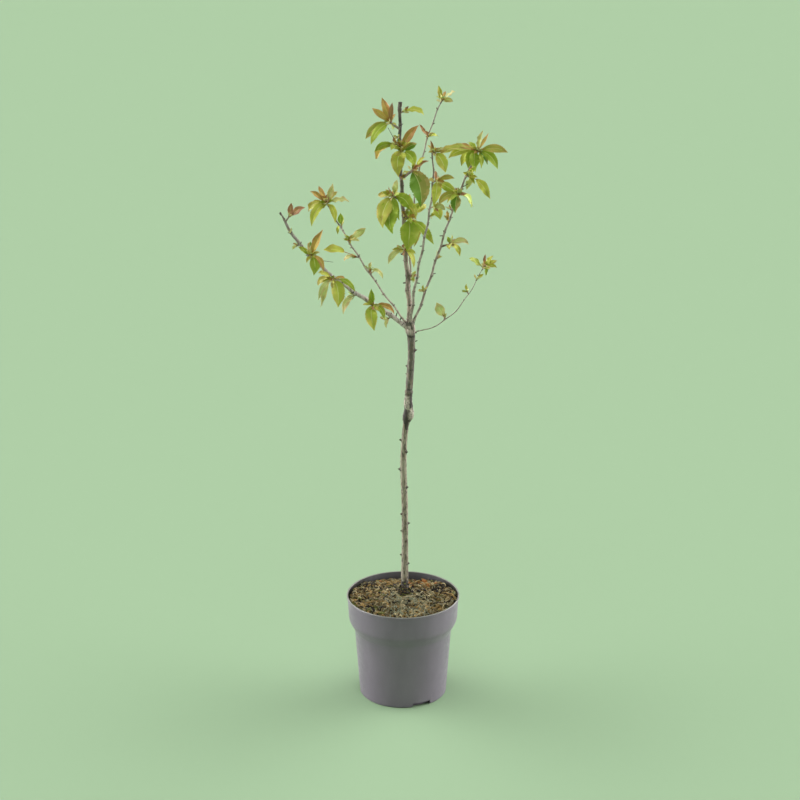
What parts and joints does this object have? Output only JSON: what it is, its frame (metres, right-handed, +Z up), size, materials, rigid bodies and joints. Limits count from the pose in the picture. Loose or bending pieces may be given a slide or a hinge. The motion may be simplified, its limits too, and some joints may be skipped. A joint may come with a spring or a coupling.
{
  "type": "young yellow cherry tree in a plastic nursery pot",
  "caption": "Young grafted cherry tree in a round plastic nursery pot, with a slim stem that forks into pruned boughs with tufts of young green and copper leaves.",
  "frame": {"origin": "centre of the pot's flat underside, at floor level", "axes": "+Z up along the stem; -Y towards the front of the crown, the side that the picture shows; -X towards the tree's lowest and longest bough"},
  "size_m": [0.3799, 0.2075, 1.0978],
  "materials": {
    "pot_plastic": "moulded grey plastic, satin",
    "potting_mix": "chopped bark and fibre, rough and dry on top",
    "bark": "thin grey-brown bark",
    "foliage": "thin satin leaves, lime green to copper"
  },
  "bodies": {
    "root": {"back_bough": "bark", "back_leaves_1": "foliage", "back_leaves_2": "foliage", "front_bough": "bark", "front_leaves_1": "foliage", "front_leaves_2": "foliage", "front_leaves_3": "foliage", "leader_bough": "bark", "leader_leaves_1": "foliage", "leader_leaves_10": "foliage", "leader_leaves_11": "foliage", "leader_leaves_2": "foliage", "leader_leaves_3": "foliage", "leader_leaves_4": "foliage", "leader_leaves_5": "foliage", "leader_leaves_6": "foliage", "leader_leaves_7": "foliage", "leader_leaves_8": "foliage", "leader_leaves_9": "foliage", "low_left_bough": "bark", "low_left_leaves_1": "foliage", "low_left_leaves_2": "foliage", "low_left_leaves_3": "foliage", "low_left_leaves_4": "foliage", "low_left_leaves_5": "foliage", "low_left_leaves_6": "foliage", "low_left_leaves_7": "foliage", "low_right_bough": "bark", "low_right_leaves_1": "foliage", "low_right_leaves_2": "foliage", "low_right_leaves_3": "foliage", "pot": "pot_plastic", "right_bough": "bark", "right_leaves_1": "foliage", "right_leaves_2": "foliage", "right_leaves_3": "foliage", "right_leaves_4": "foliage", "right_leaves_5": "foliage", "right_leaves_6": "foliage", "soil": "potting_mix", "trunk": "bark", "upper_left_bough": "bark", "upper_left_leaves_1": "foliage", "upper_left_leaves_2": "foliage", "upper_left_leaves_3": "foliage", "upper_left_leaves_4": "foliage", "upper_left_leaves_5": "foliage"}
  },
  "joints": []
}
